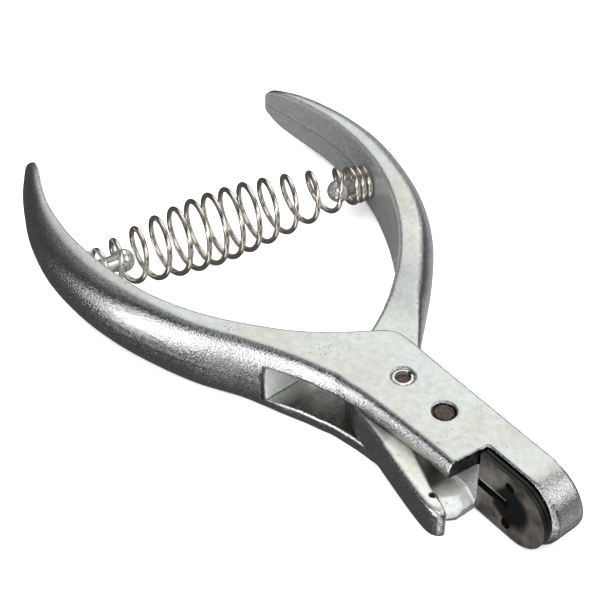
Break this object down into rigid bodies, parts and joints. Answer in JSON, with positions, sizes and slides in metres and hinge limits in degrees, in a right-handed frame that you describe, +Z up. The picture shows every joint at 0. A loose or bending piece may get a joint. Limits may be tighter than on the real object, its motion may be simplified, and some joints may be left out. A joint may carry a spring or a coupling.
{
  "type": "hole punch",
  "caption": "Plier-type hand punch: cast frame with a slotted die jaw, cast lever with a blade on its tail, pivot and stop pins, and a barrel spring between curved handles.",
  "frame": {"origin": "centre of the bounding box's bottom face, with the tool lying flat and its handles open", "axes": "+X along the tool towards the nose of the jaw, +Y towards the lever's handle, +Z up, along the pivot pin"},
  "size_m": [0.1548, 0.0852, 0.017],
  "materials": {
    "zinc_casting": "bright plated zinc die casting, satin with a fine grain",
    "nickel_wire": "bright nickel-plated spring wire",
    "black_die_steel": "blackened tool steel, satin",
    "dark_screw_steel": "black oxide",
    "pivot_pin_steel": "plain rolled spring steel",
    "stop_pin_steel": "browned, slightly rusty end face",
    "punch_blade_steel": "ground tool steel"
  },
  "bodies": {
    "frame": {"frame": "zinc_casting", "frame_spring_stud": "zinc_casting", "pivot_pin": "pivot_pin_steel", "stop_pin": "stop_pin_steel", "die_plate": "black_die_steel", "die_backing_plate": "black_die_steel", "die_screw_upper": "dark_screw_steel", "die_screw_lower": "dark_screw_steel", "return_spring": "nickel_wire"},
    "lever": {"lever": "zinc_casting", "lever_spring_stud": "zinc_casting", "punch_blade": "punch_blade_steel", "punch_retaining_pin": "dark_screw_steel"}
  },
  "joints": [
    {"name": "lever_hinge", "type": "hinge", "parent": "frame", "child": "lever", "pos_m": [0.03476, -0.00826, 0.0085], "axis": [0, 0, 1], "range_deg": [0, 22], "stiffness_Nm_per_rad": 1.3, "springref_deg": -14.32, "deforming": ["return_spring"]}
  ]
}
